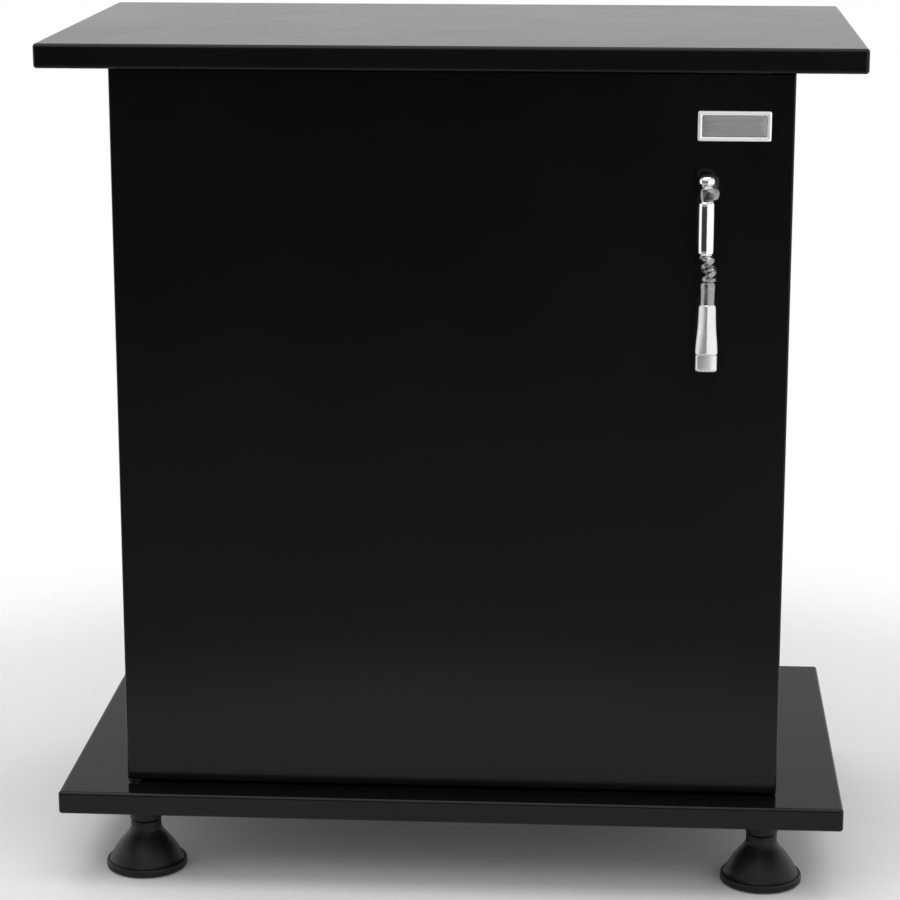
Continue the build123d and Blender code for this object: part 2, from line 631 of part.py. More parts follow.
def foot_pad(x, y):
    """The rubber pad on the floor, with the spigot that the bell turns on."""
    with BuildPart() as piece:
        rod(x, y, 0, PAD_T, PAD_RADIUS)
        fillet(piece.edges().group_by(Axis.Z)[0], PAD_EDGE)
        rod(x, y, PAD_T, PAD_SPIGOT_TOP, PAD_SPIGOT)
    return piece


with BuildPart() as foot_screws:
    head_radius, head_height = SCREW_HEAD
    upright = (Align.CENTER, Align.CENTER, Align.MIN)
    for foot_x, foot_y in foot_centres().values():
        with Locations((foot_x, foot_y, FLANGE_Z0 - head_height)):
            with PolarLocations(FLANGE_SCREW_RING, FLANGE_SCREWS, FLANGE_SCREW_START):
                Cylinder(head_radius, head_height, align=upright)
                Cylinder(WOOD_SCREW - FIXED_GAP, FLANGE_SCREW_TOP - FLANGE_Z0, align=upright)

# ---- export -------------------------------------------------------------------------------------

PIECES = {
    "top_board": top_board,
    "base_board": base_board,
    "side_panel_left": side_panel_left,
    "side_panel_right": side_panel_right,
    "front_rail": front_rail,
    "rear_rail": rear_rail,
    "rear_panel": rear_panel,
    "shelf": shelf,
    "shelf_pins": shelf_pins,
    "cam_locks": cam_locks,
    "cam_bolts": cam_bolts,
    "dowels": dowels,
    "door_panel": door_panel,
    "pivot_plate_upper": pivot_plate_upper,
    "pivot_plate_lower": pivot_plate_lower,
    "pivot_bush_upper": pivot_bush_upper,
    "pivot_bush_lower": pivot_bush_lower,
    "pivot_screws": pivot_screws,
    "handle": handle,
    "handle_screws": handle_screws,
    "badge": badge,
    "catch_body": catch_body,
    "catch_poles": catch_poles,
    "catch_screws": catch_screws,
    "strike_plate": strike_plate,
    "door_bumpers": door_bumpers,
    "foot_screws": foot_screws,
}

for corner, (foot_x, foot_y) in foot_centres().items():
    PIECES[f"foot_socket_{corner}"] = foot_socket(foot_x, foot_y)
    PIECES[f"foot_bell_{corner}"] = foot_bell(foot_x, foot_y)
    PIECES[f"foot_stud_{corner}"] = foot_stud(foot_x, foot_y)
    PIECES[f"foot_pad_{corner}"] = foot_pad(foot_x, foot_y)

for name, piece in PIECES.items():
    piece.part.label = name
    export_step(piece.part, f"parts/{name}.step")
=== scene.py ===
"""Aquarium stand: the visible pieces and materials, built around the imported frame.

Metres, the row's frame: +Z up, the door faces -Y.
"""

import json
from math import cos, pi, radians, sin

import bmesh
import bpy
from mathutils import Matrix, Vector


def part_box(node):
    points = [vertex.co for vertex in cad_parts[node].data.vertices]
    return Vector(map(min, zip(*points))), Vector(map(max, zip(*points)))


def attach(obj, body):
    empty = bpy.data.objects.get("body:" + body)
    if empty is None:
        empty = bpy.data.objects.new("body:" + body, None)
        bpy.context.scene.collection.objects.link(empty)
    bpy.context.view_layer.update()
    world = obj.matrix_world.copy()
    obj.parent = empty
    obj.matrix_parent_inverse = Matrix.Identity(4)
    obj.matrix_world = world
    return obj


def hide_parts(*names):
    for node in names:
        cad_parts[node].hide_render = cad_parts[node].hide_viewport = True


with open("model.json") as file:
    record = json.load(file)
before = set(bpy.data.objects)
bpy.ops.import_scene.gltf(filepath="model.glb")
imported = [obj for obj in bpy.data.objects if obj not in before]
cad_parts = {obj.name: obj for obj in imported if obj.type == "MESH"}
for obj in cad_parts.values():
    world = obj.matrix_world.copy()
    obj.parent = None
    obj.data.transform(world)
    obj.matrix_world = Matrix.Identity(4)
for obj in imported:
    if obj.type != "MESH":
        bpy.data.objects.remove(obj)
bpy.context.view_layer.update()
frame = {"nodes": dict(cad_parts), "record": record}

NODES = frame["nodes"]
CORNERS = ("front_left", "front_right", "rear_left", "rear_right")
MM = 0.001

# ---- camera -------------------------------------------------------------------------------------

CAMERA_AT = Vector((0.1349, -2.2143, 0.8557))
CAMERA_YAW = radians(3.73)  # turned towards -X
CAMERA_PITCH = radians(13.81)  # looking down
CAMERA_LENS = 114.0


def add_camera():
    """The photographer's standpoint: a little right of the middle, above the top board."""
    data = bpy.data.cameras.new("camera")
    data.sensor_width = 36.0
    data.lens = CAMERA_LENS
    camera = bpy.data.objects.new("camera", data)
    bpy.context.scene.collection.objects.link(camera)
    look = Vector(
        (
            -sin(CAMERA_YAW) * cos(CAMERA_PITCH),
            cos(CAMERA_YAW) * cos(CAMERA_PITCH),
            -sin(CAMERA_PITCH),
        )
    )
    camera.location = CAMERA_AT
    camera.rotation_euler = look.to_track_quat("-Z", "Y").to_euler()
    bpy.context.scene.camera = camera


# ---- node helpers -------------------------------------------------------------------------------


class Shader:
    """A material with a Principled shader and short calls to wire procedural detail into it."""

    def __init__(self, name, **values):
        self.material = bpy.data.materials.new(name)
        self.material.use_nodes = True
        self.tree = self.material.node_tree
        self.bsdf = self.tree.nodes["Principled BSDF"]
        for socket, value in values.items():
            self.bsdf.inputs[socket.replace("_", " ")].default_value = value
        self.coords = self.tree.nodes.new("ShaderNodeTexCoord").outputs["Object"]

    def add(self, kind, **inputs):
        node = self.tree.nodes.new(kind)
        for socket, value in inputs.items():
            self.set(node, socket.replace("_", " "), value)
        return node

    def set(self, node, socket, value):
        if isinstance(value, bpy.types.NodeSocket):
            self.tree.links.new(value, node.inputs[socket])
        else:
            node.inputs[socket].default_value = value

    def noise(self, scale, detail=3.0, roughness=0.5, stretch=(1, 1, 1)):
        """A noise pattern in metres; stretch above 1 makes it finer along that axis."""
        mapped = self.add("ShaderNodeMapping", Vector=self.coords, Scale=stretch)
        node = self.add("ShaderNodeTexNoise", Vector=mapped.outputs[0], Scale=scale)
        node.inputs["Detail"].default_value = detail
        node.inputs["Roughness"].default_value = roughness
        return node.outputs["Fac"]

    def ramp(self, factor, low, high, stops=(0.3, 0.7)):
        """Maps a pattern to a number between low and high."""
        node = self.add("ShaderNodeMapRange", Value=factor)
        node.inputs["From Min"].default_value = stops[0]
        node.inputs["From Max"].default_value = stops[1]
        node.inputs["To Min"].default_value = low
        node.inputs["To Max"].default_value = high
        return node.outputs["Result"]

    def mix(self, factor, low, high):
        """Maps a pattern to a colour between low and high."""
        node = self.tree.nodes.new("ShaderNodeMix")
        node.data_type = "RGBA"
        self.tree.links.new(factor, node.inputs["Factor"])
        for socket, value in (("A", low), ("B", high)):
            slot = [s for s in node.inputs if s.name == socket and s.type == "RGBA"][0]
            slot.default_value = (*value, 1.0)
        return [s for s in node.outputs if s.type == "RGBA"][0]

    def bump(self, height, distance, strength=1.0, after=None):
        node = self.add("ShaderNodeBump", Height=height, Distance=distance, Strength=strength)
        if after is not None:
            self.tree.links.new(after, node.inputs["Normal"])
        return node.outputs["Normal"]

    def link(self, output, socket):
        self.tree.links.new(output, self.bsdf.inputs[socket])


# ---- materials ----------------------------------------------------------------------------------


def laminate_material(name, dark, light, gloss, waviness):
    """Black high-gloss laminate: faint cloudiness, a slightly wavy surface and fine dust."""
    s = Shader(name, IOR=1.3)
    s.link(s.mix(s.noise(9.0, 4.0), dark, light), "Base Color")
    clouds = s.ramp(s.noise(5.0, 6.0, 0.65), gloss * 0.75, gloss * 1.35)
    s.link(clouds, "Roughness")
    orange_peel = s.bump(s.noise(140.0, 2.0), waviness * MM, 0.35)
    s.link(s.bump(s.noise(900.0, 2.0), 0.02 * MM, 0.25, after=orange_peel), "Normal")
    return s.material


def chrome_material(name, dark, light, smooth, hazy):
    """Chrome with a trace of haze and fine rubbing marks along the bar."""
    s = Shader(name, Metallic=1.0)
    s.link(s.mix(s.noise(220.0), dark, light), "Base Color")
    s.link(s.ramp(s.noise(420.0, 4.0), smooth, hazy), "Roughness")
    s.link(s.bump(s.noise(300.0, 3.0, stretch=(6, 6, 1)), 0.015 * MM, 0.3), "Normal")
    return s.material


def brushed_material(name, dark, light, rough, lines):
    """Metal brushed lengthwise: long thin streaks in colour, roughness and height."""
    s = Shader(name, Metallic=1.0)
    streaks = s.noise(lines, 5.0, 0.6, stretch=(0.03, 1, 1))
    s.link(s.mix(streaks, dark, light), "Base Color")
    s.link(s.ramp(streaks, rough * 0.8, rough * 1.3), "Roughness")
    s.link(s.bump(streaks, 0.02 * MM, 0.5), "Normal")
    return s.material


def zinc_material():
    """Zinc-plated steel: soft grey mottling."""
    s = Shader("zinc_plate", Metallic=1.0)
    s.link(s.mix(s.noise(260.0, 5.0), (0.42, 0.43, 0.44), (0.66, 0.66, 0.65)), "Base Color")
    s.link(s.ramp(s.noise(500.0), 0.26, 0.42), "Roughness")
    s.link(s.bump(s.noise(900.0), 0.01 * MM, 0.4), "Normal")
    return s.material


def plastic_material(name, dark, light, rough, grain, depth, ior=1.46):
    """Moulded plastic or rubber with a fine moulded grain."""
    s = Shader(name, IOR=ior)
    s.link(s.mix(s.noise(60.0, 4.0), dark, light), "Base Color")
    s.link(s.ramp(s.noise(320.0, 3.0), rough * 0.85, rough * 1.15), "Roughness")
    s.link(s.bump(s.noise(grain, 3.0), depth * MM, 0.5), "Normal")
    return s.material


def beech_material():
    """Beech dowels: straight grain with darker flecks."""
    s = Shader("beech_wood", Roughness=0.6)
    grain = s.noise(700.0, 5.0, 0.6, stretch=(1, 1, 0.06))
    s.link(s.mix(grain, (0.42, 0.26, 0.13), (0.62, 0.43, 0.25)), "Base Color")
    s.link(s.bump(grain, 0.05 * MM, 0.6), "Normal")
    return s.material


def grey(dark, light, blue=0.0):
    """A darker and a lighter grey, with a little extra blue."""
    return (dark, dark, dark + blue), (light, light, light + blue)


MATERIALS = {
    "laminate": laminate_material(
        "laminate_black", (0.0032, 0.0032, 0.0035), (0.0046, 0.0046, 0.005), 0.12, 0.05
    ),
    "door_laminate": laminate_material(
        "door_black", (0.0027, 0.0027, 0.0029), (0.0037, 0.0037, 0.004), 0.15, 0.05
    ),
    "chrome": chrome_material(
        "chrome_polished", (0.72, 0.73, 0.75), (0.86, 0.87, 0.88), 0.05, 0.13
    ),
    "chrome_satin": chrome_material(
        "chrome_satin", (0.62, 0.63, 0.65), (0.76, 0.77, 0.78), 0.28, 0.4
    ),
    # Darker chrome colour for the neck, knot and collar: painted shade, not a real finish.
    "chrome_painted_shade": chrome_material(
        "chrome_painted_shade", (0.16, 0.16, 0.17), (0.4, 0.4, 0.41), 0.14, 0.26
    ),
    "badge_rim": brushed_material("badge_rim", *grey(0.88, 0.97, 0.01), 0.46, 2600.0),
    "badge_metal": brushed_material("badge_plate", (0.3, 0.3, 0.305), (0.44, 0.44, 0.45), 0.42, 2600.0),
    "zinc_steel": zinc_material(),
    "nylon": plastic_material("nylon_black", *grey(0.006, 0.012), 0.42, 700.0, 0.02),
    "catch_plastic": plastic_material("catch_black", *grey(0.008, 0.014), 0.4, 1500.0, 0.03),
    "beech": beech_material(),
    "bumper_rubber": plastic_material(
        "bumper_clear", (0.5, 0.51, 0.52), (0.6, 0.61, 0.62), 0.3, 800.0, 0.01
    ),
    "foot_plastic": plastic_material(
        "foot_black", (0.004, 0.004, 0.0044), (0.008, 0.008, 0.0085), 0.42, 1800.0, 0.04, 1.33
    ),
    "pad_rubber": plastic_material("pad_black", *grey(0.012, 0.022), 0.8, 1200.0, 0.08),
}


def dress_cad_nodes():
    """Every CAD node that stays gets the material of its slot."""
    for entry in frame["record"]["subparts"]:
        mesh = NODES[entry["node"]].data
        material = MATERIALS[entry["material_slot"]]
        mesh.materials.clear()
        mesh.materials.append(material)
        mesh.polygons.foreach_set("material_index", [0] * len(mesh.polygons))


# ---- mesh helpers -------------------------------------------------------------------------------


def finish_piece(name, bm, material, body, smooth_angle=35.0):
    """Turns a bmesh into a piece that rides on a body."""
    bmesh.ops.recalc_face_normals(bm, faces=bm.faces)
    mesh = bpy.data.meshes.new(name)
    bm.to_mesh(mesh)
    bm.free()
    for polygon in mesh.polygons:
        polygon.use_smooth = True
    mesh.set_sharp_from_angle(angle=radians(smooth_angle))
    mesh.materials.append(material)
    piece = bpy.data.objects.new(name, mesh)
    bpy.context.scene.collection.objects.link(piece)
    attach(piece, body)
    return piece


def skin(bm, rings, closed_ends=True):
    """Faces between successive rings of points, with both ends capped."""
    rows = [[bm.verts.new(p) for p in ring] for ring in rings]
    count = len(rows[0])
    for lower, upper in zip(rows, rows[1:]):
        for i in range(count):
            j = (i + 1) % count
            bm.faces.new((lower[i], lower[j], upper[j], upper[i]))
    if closed_ends:
        bm.faces.new(rows[0][::-1])
        bm.faces.new(rows[-1])
    return rows


def superellipse(half_x, half_y, power, turn, count=48):
    """A closed ring in the XY plane: power 2 is an ellipse, higher is squarer."""
    ring = []
    for i in range(count):
        a = 2 * pi * i / count
        c, s = cos(a), sin(a)
        x = half_x * abs(c) ** (2 / power) * (1 if c >= 0 else -1)
        y = half_y * abs(s) ** (2 / power) * (1 if s >= 0 else -1)
        ring.append((x * cos(turn) - y * sin(turn), x * sin(turn) + y * cos(turn)))
    return ring


def revolve(bm, profile, centre, count=96):
    """A closed turned solid from (radius, z) points that start and end on the axis side."""
    rings = [
        [
            (centre[0] + r * cos(2 * pi * i / count), centre[1] + r * sin(2 * pi * i / count), z)
            for i in range(count)
        ]
        for r, z in profile
    ]
    rows = [[bm.verts.new(p) for p in ring] for ring in rings]
    for a, b in zip(rows, rows[1:] + rows[:1]):
        for i in range(count):
            j = (i + 1) % count
            bm.faces.new((a[i], a[j], b[j], b[i]))


def arc(centre, radius, start, end, steps):
    """Points of an arc in (radius, z), angles in degrees."""
    return [
        (
            centre[0] + radius * cos(radians(start + (end - start) * i / steps)),
            centre[1] + radius * sin(radians(start + (end - start) * i / steps)),
        )
        for i in range(steps + 1)
    ]


# ---- handle -------------------------------------------------------------------------------------

HANDLE_REACH = 20.0 * MM  # door face to the bow's centre line
HANDLE_BOW = 3.0 * MM
BAR_SHIFT = -2.0  # the bar stands this far towards the middle of the door

# Heights above the handle's lower end, half-widths, half-depths and sideways shifts in millimetres.
# The power sets the section: 2 is an ellipse, above it is squarer, below it has a ridge in front.
BLOCK = (
    # height, half-width, half-depth, power, twist, shift
    (0.0, 6.6, 2.6, 3.0, 0, 0),
    (0.5, 7.6, 3.5, 3.0, 0, 0),
    (1.4, 8.1, 4.0, 3.0, 0, 0),
    (11.6, 8.1, 4.0, 3.0, 0, 0),
    (12.6, 7.8, 3.8, 3.0, 0, 0),
)
BLADE = (
    (12.9, 7.4, 3.4, 2.2, 0, 0),
    (13.6, 8.2, 4.2, 1.5, 0, 0),
    (20.0, 7.9, 4.3, 1.4, 0, 0),
    (28.0, 7.2, 4.4, 1.35, 0, 0),
    (38.0, 6.6, 4.4, 1.35, 0, 0),
    (47.5, 6.3, 4.3, 1.35, 0, 0),
    (49.3, 6.1, 4.1, 1.4, 0, 0),
    (50.2, 5.2, 3.5, 1.6, 0, 0),
)
NECK = (
    (50.8, 5.2, 3.3, 1.6, 0, 0),
    (58.0, 5.3, 3.6, 1.5, 0, 0),
    (64.0, 5.6, 4.0, 1.5, 0, 0),
    (66.2, 5.2, 3.7, 1.6, 0, 0),
)
KNOT = (
    (66.8, 4.4, 3.4, 2.0, 0, 0.3),
    (68.0, 5.6, 4.3, 3.0, 20, 0.6),
    (72.0, 6.0, 3.9, 4.0, 90, 0.6),
    (76.5, 6.0, 3.6, 4.5, 180, 0.2),
    (81.0, 6.0, 3.9, 4.0, 270, -0.5),
    (85.0, 5.8, 4.3, 3.0, 340, -1.2),
    (86.6, 4.8, 3.8, 2.2, 360, -1.6),
)
BAR = (
    (87.4, 5.0, 4.0, 2.0, 360, -1.9),
    (88.4, 5.9, 4.4, 2.0, 360, BAR_SHIFT),
    (100.0, 6.0, 4.5, 2.0, 360, BAR_SHIFT),
    (112.0, 6.0, 4.5, 2.0, 360, BAR_SHIFT),
    (124.4, 5.9, 4.4, 2.0, 360, BAR_SHIFT),
    (125.4, 5.0, 3.9, 2.0, 360, -1.8),
)
COLLAR = (
    (126.2, 5.6, 4.0, 2.2, 360, -0.8),
    (128.0, 7.0, 4.5, 2.6, 348, 0.0),
    (132.0, 7.3, 4.4, 3.0, 360, 0.2),
    (135.0, 6.7, 4.2, 2.6, 372, -0.2),
    (136.6, 4.9, 3.3, 2.0, 360, -1.2),
)
CAP = (
    (137.4, 4.5, 3.1, 2.0, 360, -1.8),
    (138.4, 5.6, 3.8, 2.2, 360, BAR_SHIFT),
    (140.5, 6.0, 4.1, 2.2, 360, BAR_SHIFT),
    (142.4, 5.5, 3.7, 2.2, 360, BAR_SHIFT),
    (143.5, 4.2, 2.8, 2.2, 360, BAR_SHIFT),
    (144.0, 2.3, 1.4, 2.0, 360, BAR_SHIFT),
)
# Stretches of the bow, from below: the material that each has up to that height. The dark chrome on the
# neck, knot and collar is painted shade.
FINISHES_AND_PAINTED_SHADE = (
    (50.4, "chrome_satin"),
    (87.0, "chrome_painted_shade"),
    (125.8, "chrome"),
    (137.0, "chrome_painted_shade"),
    (144.0, "chrome"),
)
LOWER_POST = (8.0, 7.0, 6.4)  # height, half-width, half-height
UPPER_POST = (136.0, 6.2, 5.6)
# Shares of the reach out from the door, and how much wider or narrower the post is there.
POST_STEPS = (
    (0.0, 1.1),
    (0.03, 1.16),
    (0.1, 1.14),
    (0.16, 0.98),
    (0.5, 0.88),
    (0.8, 0.92),
    (0.9, 0.86),
)
SECTION_STEPS = 4  # sections made between two named ones
POST_POWER = 3.0


def blended_sections(sections, steps):
    """More sections between the named ones, on a smooth curve through them."""
    out = []
    for i in range(len(sections) - 1):
        before = sections[max(i - 1, 0)]
        first, last = sections[i], sections[i + 1]
        after = sections[min(i + 2, len(sections) - 1)]
        for step in range(steps):
            t = step / steps
            point = []
            for a, b, c, d in zip(before, first, last, after):
                pull_in, pull_out = (c - a) / 2, (d - b) / 2
                limit = abs(c - b)
                pull_in = max(-limit, min(limit, pull_in))
                pull_out = max(-limit, min(limit, pull_out))
                point.append(
                    b * (2 * t**3 - 3 * t**2 + 1)
                    + c * (3 * t**2 - 2 * t**3)
                    + pull_in * (t**3 - 2 * t**2 + t)
                    + pull_out * (t**3 - t**2)
                )
            out.append(tuple(point))
    out.append(sections[-1])
    return out


def add_handle():
    """The polished bow: block, ridged blade, neck, twisted knot, round bar, collar and cap."""
    low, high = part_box("handle")
    centre_x = (low.x + high.x) / 2
    length = high.z - low.z
    face_y = high.y
    bm = bmesh.new()
    sections = blended_sections(BLOCK + BLADE + NECK + KNOT + BAR + COLLAR + CAP, SECTION_STEPS)
    rings = []
    for height, half_x, half_y, power, twist, shift in sections:
        z = height * MM
        y = face_y - HANDLE_REACH + HANDLE_BOW * (1 - sin(pi * z / length))
        ring = superellipse(half_x * MM, half_y * MM, power, radians(twist))
        rings.append([(centre_x + shift * MM + px, y + py, low.z + z) for px, py in ring])
    skin(bm, rings)
    for height, half_x, half_z in (LOWER_POST, UPPER_POST):
        post = []
        for share, flare in POST_STEPS:
            y = face_y - share * HANDLE_REACH
            ring = superellipse(half_x * flare * MM, half_z * flare * MM, POST_POWER, 0)
            post.append([(centre_x + px, y, low.z + height * MM + pz) for px, pz in ring])
        skin(bm, post)
    piece = finish_piece("handle_bow", bm, MATERIALS["chrome"], "door", 40.0)
    names = ["chrome", "chrome_satin", "chrome_painted_shade"]
    for name in names[1:]:
        piece.data.materials.append(MATERIALS[name])
    # Only the bow's front faces get the stretches' materials; the dark chrome on the neck, knot and
    # collar is painted shade.
    bow_front = face_y - HANDLE_REACH / 2
    for polygon in piece.data.polygons:
        height = (polygon.center.z - low.z) / MM
        if polygon.center.y < bow_front:
            finish_or_shade = next((name for top, name in FINISHES_AND_PAINTED_SHADE if height <= top), "chrome")
            polygon.material_index = names.index(finish_or_shade)
    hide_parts("handle")


# ---- badge --------------------------------------------------------------------------------------


def rounded_rectangle(half_x, half_z, radius, steps=6):
    """Points of a rounded rectangle in the XZ plane, counter-clockwise seen from the front."""
    ring = []
    for cx, cz, start in (
        (half_x - radius, half_z - radius, 0),
        (-half_x + radius, half_z - radius, 90),
        (-half_x + radius, -half_z + radius, 180),
        (half_x - radius, -half_z + radius, 270),
    ):
        for i in range(steps + 1):
            a = radians(start + 90 * i / steps)
            ring.append((cx + radius * cos(a), cz + radius * sin(a)))
    return ring


# The rim and the panel as steps: inset from the plate's outline, height above the door, and, for
# the rim, how far the corner's rounding has gone. Millimetres.
RIM_STEPS = (
    (0.0, 0.0, 0.0),
    (0.0, 1.3, 0.0),
    (0.3, 1.55, 0.3),
    (0.9, 1.74, 0.5),
    (1.6, 1.8, 0.7),
    (2.3, 1.7, 0.9),
    (2.8, 1.45, 1.0),
    (3.05, 1.1, 1.0),
)
RIM_WIDTH = 3.0
RIM_CORNER, RIM_CORNER_LOSS = 1.4, 0.6  # outer radius, and what the inner one lacks of it
RIM_INNER_CORNER = 0.8
PANEL_STEPS = ((3.15, 0.05), (3.15, 0.8), (3.4, 1.0), (5.0, 1.14), (7.0, 1.24), (9.0, 1.28))
PANEL_CORNER = 0.7


def add_badge():
    """A framed plate: domed bright rim round a darker brushed panel, with no lettering."""
    low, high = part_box("badge")
    middle = (low + high) / 2
    half_x, half_z = (high.x - low.x) / 2, (high.z - low.z) / 2

    def outline(inset, height, radius):
        shape = rounded_rectangle(half_x - inset * MM, half_z - inset * MM, radius * MM)
        return [(middle.x + x, high.y - height * MM, middle.z + z) for x, z in shape]

    bm = bmesh.new()
    rings = [
        outline(inset, height, RIM_CORNER - loss * RIM_CORNER_LOSS)
        for inset, height, loss in RIM_STEPS
    ]
    rings.append(outline(RIM_WIDTH, 0.0, RIM_INNER_CORNER))
    rows = skin(bm, rings, closed_ends=False)
    count = len(rows[0])
    for i in range(count):
        j = (i + 1) % count
        bm.faces.new((rows[-1][i], rows[-1][j], rows[0][j], rows[0][i]))
    piece = finish_piece("badge_rim", bm, MATERIALS["badge_rim"], "door", 25.0)
    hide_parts("badge")
    bm = bmesh.new()
    skin(bm, [outline(inset, height, PANEL_CORNER) for inset, height in PANEL_STEPS])
    finish_piece("badge_panel", bm, MATERIALS["badge_metal"], "door", 25.0)


# ---- feet ---------------------------------------------------------------------------------------


# The bell in millimetres: radius and height above the floor.
BELL_UNDERSIDE = [(4.05, 4.3), (26.0, 4.3), (26.0, 1.2), (30.6, 1.2)]
RIM_FOOT = ((30.5, 2.2), 1.0, -80, 0, 5)  # arcs: centre, radius, first and last angle, steps
RIM_TOP = ((29.3, 5.4), 2.2, 0, 48, 6)
RIM_GROOVE = [(29.8, 7.3), (29.3, 7.2)]
FLANK_START, FLANK_RUN = (28.8, 7.6), (-14.7, 21.6)
FLANK_BULGE = 1.2
FLANK_STEPS = 12
NECK_FLARE = ((17.9, 34.4), 5.9, -142, -180, 5)
NECK_AND_BORE = [(12.0, 38.4), (11.7, 39.1), (11.2, 39.5), (5.0, 39.5), (5.0, 18.0), (4.05, 18.0)]


def bell_profile():
    """The bell's section from the pad recess round the rim and up the flank, in metres."""
    outline = BELL_UNDERSIDE + arc(*RIM_FOOT)[1:] + arc(*RIM_TOP) + RIM_GROOVE
    for i in range(FLANK_STEPS + 1):
        t = i / FLANK_STEPS
        bulge = FLANK_BULGE * sin(pi * t)
        outline.append((FLANK_START[0] + FLANK_RUN[0] * t + bulge, FLANK_START[1] + FLANK_RUN[1] * t))
    outline += arc(*NECK_FLARE)[1:] + NECK_AND_BORE
    return [(r * MM, z * MM) for r, z in outline]


def add_bell(corner, centre):
    bm = bmesh.new()
    revolve(bm, bell_profile(), centre)
    body = f"foot_bell_{corner}"
    piece = finish_piece(f"bell_{corner}", bm, MATERIALS["foot_plastic"], body, 40.0)
    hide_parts(body)


THREAD_PITCH = 1.5 * MM
THREAD_CREST = 4.95 * MM
THREAD_ROOT = 4.15 * MM
THREAD_START = 16 * MM  # above the stud's lower end
THREAD_END = 1.5 * MM  # below its tip
TIP_CHAMFER = 0.8 * MM
RIDGE_FULL, RIDGE_FALL = 1.35, 3.4  # flat crest and steepness of the thread's flanks
STUD_SIDES, ROWS_PER_TURN = 36, 8


def add_stud(corner, centre):
    """The threaded stud: a ridge that winds up a rod, run out to a plain tip."""
    low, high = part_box(f"foot_stud_{corner}")
    bm = bmesh.new()
    around = STUD_SIDES
    plain = low.z + THREAD_START
    rows = int((high.z - THREAD_END - plain) / THREAD_PITCH * ROWS_PER_TURN)
    rings = [[(THREAD_CREST, low.z)] * around, [(THREAD_CREST, plain)] * around]
    for row in range(1, rows + 1):
        z = plain + row * THREAD_PITCH / ROWS_PER_TURN
        ring = []
        for i in range(around):
            phase = (z / THREAD_PITCH - i / around) % 1.0
            ridge = min(1.0, max(0.0, RIDGE_FULL - abs(phase - 0.5) * RIDGE_FALL))
            ring.append((THREAD_ROOT + (THREAD_CREST - THREAD_ROOT) * ridge, z))
        rings.append(ring)
    rings.append([(THREAD_ROOT, high.z - TIP_CHAMFER)] * around)
    rings.append([(THREAD_ROOT - TIP_CHAMFER, high.z)] * around)
    points = [
        [
            (centre[0] + r * cos(2 * pi * i / around), centre[1] + r * sin(2 * pi * i / around), z)
            for i, (r, z) in enumerate(ring)
        ]
        for ring in rings
    ]
    skin(bm, points)
    body = f"foot_bell_{corner}"
    piece = finish_piece(f"stud_{corner}", bm, MATERIALS["zinc_steel"], body, 70.0)
    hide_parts(f"foot_stud_{corner}")


def add_feet():
    for corner in CORNERS:
        low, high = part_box(f"foot_bell_{corner}")
        centre = ((low.x + high.x) / 2, (low.y + high.y) / 2)
        add_bell(corner, centre)
        add_stud(corner, centre)


# ---- studio -------------------------------------------------------------------------------------

# The room as the glossy faces see it. Azimuths run from the front, positive to the right.
# Pairs are where a change starts and ends: angles in degrees, rises as the sine of the elevation.
REAR_LOW, REAR_HIGH = 0.66, 0.5  # behind the stand, near the horizon and above it
REAR_RISE = (0.13, 0.2)
REAR_FROM = (140, 150)
SIDE_GLOW, UPPER_ROOM = 1.25, 0.6  # pale walls to the left and right, and above them
UPPER_RISE = (0.3, 0.7)
AISLE_DEEP, AISLE_NEAR, AISLE_HIGH = 0.045, 0.37, 0.42  # dim front: far off, close by, above
AISLE_NEAR_RISE = (-0.28, -0.18)
AISLE_HIGH_RISE = (0.0, 0.12)
AISLE_LEFT, AISLE_RIGHT = (-58, -50), (5, 11)
WHITE = (1.0, 1.0, 1.0, 1.0)

FLOOR_RADIUS = 0.86
FLOOR_FADE = 0.56  # the floor is solid up to this distance from the middle
FLOOR_SIDES = 96

# Lamps: position, what they point at, size in metres, watts.
OVERHEAD = ((0.0, -0.3, 2.6), (0, 0, 0), (2.4, 2.2), 32.0)
KEY_FRONT = ((-0.5, -2.3, 2.3), (0, 0, 0.4), (2.0, 1.2), 12.0)


class RoomNodes:
    """Short calls for the numbers that the world shader is made of."""

    def __init__(self, tree):
        self.tree = tree

    def new(self, kind, **settings):
        node = self.tree.nodes.new(kind)
        for name, value in settings.items():
            setattr(node, name, value)
        return node

    def feed(self, socket, value):
        if isinstance(value, bpy.types.NodeSocket):
            self.tree.links.new(value, socket)
        else:
            socket.default_value = value

    def math(self, operation, *values):
        node = self.new("ShaderNodeMath", operation=operation)
        for socket, value in zip(node.inputs, values):
            self.feed(socket, value)
        return node.outputs[0]

    def rise(self, value, low, high, start=0.0, end=1.0):
        """Goes smoothly from start to end as value goes from low to high."""
        node = self.new("ShaderNodeMapRange", interpolation_type="SMOOTHSTEP")
        self.feed(node.inputs["Value"], value)
        self.feed(node.inputs["From Min"], low)
        self.feed(node.inputs["From Max"], high)
        self.feed(node.inputs["To Min"], start)
        self.feed(node.inputs["To Max"], end)
        return node.outputs["Result"]

    def blend(self, factor, first, second):
        node = self.new("ShaderNodeMix")
        self.feed(node.inputs["Factor"], factor)
        self.feed(node.inputs["A"], first)
        self.feed(node.inputs["B"], second)
        return node.outputs["Result"]

    def background(self, strength):
        node = self.new("ShaderNodeBackground")
        node.inputs["Color"].default_value = WHITE
        self.feed(node.inputs["Strength"], strength)
        return node.outputs[0]


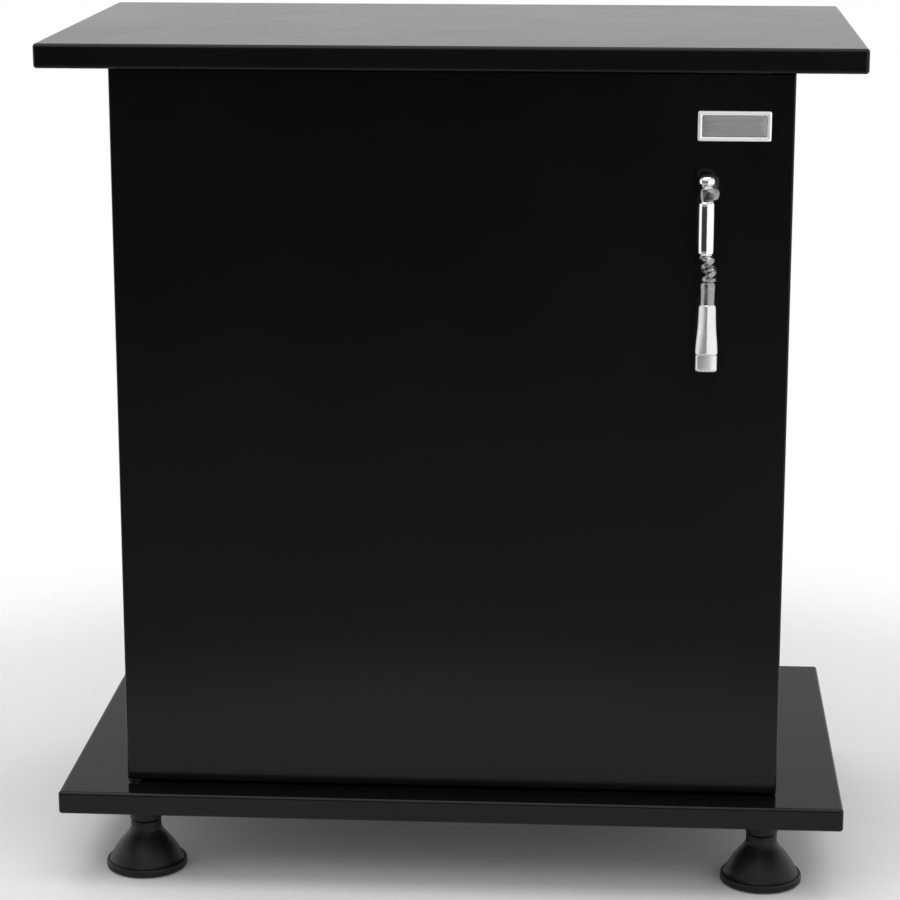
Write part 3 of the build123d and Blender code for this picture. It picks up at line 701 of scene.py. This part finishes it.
def add_world():
    """A pale room with a dim aisle in front of the door. Camera rays see it plain white."""
    world = bpy.data.worlds.new("room")
    bpy.context.scene.world = world
    world.use_nodes = True
    world.node_tree.nodes.clear()
    room = RoomNodes(world.node_tree)
    direction = room.new("ShaderNodeSeparateXYZ")
    room.feed(direction.inputs[0], room.new("ShaderNodeTexCoord").outputs["Generated"])
    x, y, z = direction.outputs
    azimuth = room.math("ARCTAN2", x, room.math("MULTIPLY", y, -1.0))
    sideways = room.math("ABSOLUTE", azimuth)

    rear = room.rise(z, *REAR_RISE, REAR_LOW, REAR_HIGH)
    side = room.rise(z, *UPPER_RISE, SIDE_GLOW, UPPER_ROOM)
    around = room.blend(room.rise(sideways, *map(radians, REAR_FROM)), side, rear)
    aisle_right = room.rise(azimuth, *map(radians, AISLE_RIGHT), 1.0, 0.0)
    aisle_left = room.rise(azimuth, *map(radians, AISLE_LEFT))
    aisle = room.math("MULTIPLY", aisle_right, aisle_left)
    near_or_far = room.rise(z, *AISLE_NEAR_RISE, AISLE_NEAR, AISLE_DEEP)
    aisle_light = room.blend(room.rise(z, *AISLE_HIGH_RISE), near_or_far, AISLE_HIGH)
    glow = room.background(room.blend(aisle, around, aisle_light))

    chooser = room.new("ShaderNodeMixShader")
    room.feed(chooser.inputs[0], room.new("ShaderNodeLightPath").outputs["Is Camera Ray"])
    room.feed(chooser.inputs[1], glow)
    room.feed(chooser.inputs[2], room.background(1.0))
    room.feed(room.new("ShaderNodeOutputWorld").inputs["Surface"], chooser.outputs[0])


def add_floor():
    """A pale round floor that fades out into the pale room."""
    bm = bmesh.new()
    bmesh.ops.create_circle(bm, cap_ends=True, radius=FLOOR_RADIUS, segments=FLOOR_SIDES)
    mesh = bpy.data.meshes.new("floor")
    bm.to_mesh(mesh)
    bm.free()
    floor = bpy.data.objects.new("floor", mesh)
    bpy.context.scene.collection.objects.link(floor)
    s = Shader("floor_pale", Roughness=0.9)
    s.link(s.mix(s.noise(40.0), (0.88, 0.88, 0.88), (0.9, 0.9, 0.9)), "Base Color")
    distance = s.add("ShaderNodeVectorMath")
    distance.operation = "LENGTH"
    s.tree.links.new(s.coords, distance.inputs[0])
    fade = s.add("ShaderNodeMapRange")
    fade.interpolation_type = "SMOOTHSTEP"
    s.tree.links.new(distance.outputs["Value"], fade.inputs["Value"])
    fade.inputs["From Min"].default_value = FLOOR_FADE
    fade.inputs["From Max"].default_value = FLOOR_RADIUS
    clear = s.add("ShaderNodeBsdfTransparent")
    blend = s.add("ShaderNodeMixShader")
    s.tree.links.new(fade.outputs["Result"], blend.inputs[0])
    s.tree.links.new(s.bsdf.outputs[0], blend.inputs[1])
    s.tree.links.new(clear.outputs[0], blend.inputs[2])
    s.tree.links.new(blend.outputs[0], s.tree.nodes["Material Output"].inputs["Surface"])
    mesh.materials.append(s.material)


def area_light(name, at, toward, size, power):
    data = bpy.data.lights.new(name, "AREA")
    data.shape = "RECTANGLE"
    data.size, data.size_y = size
    data.energy = power
    light = bpy.data.objects.new(name, data)
    bpy.context.scene.collection.objects.link(light)
    light.location = at
    light.rotation_euler = (Vector(toward) - Vector(at)).to_track_quat("-Z", "Y").to_euler()


def add_studio():
    add_world()
    add_floor()
    area_light("overhead", *OVERHEAD)
    area_light("key_front", *KEY_FRONT)
    bpy.context.scene.view_settings.view_transform = "Standard"


# ---- assembly -----------------------------------------------------------------------------------

add_camera()
add_studio()
dress_cad_nodes()
add_handle()
add_badge()
add_feet()
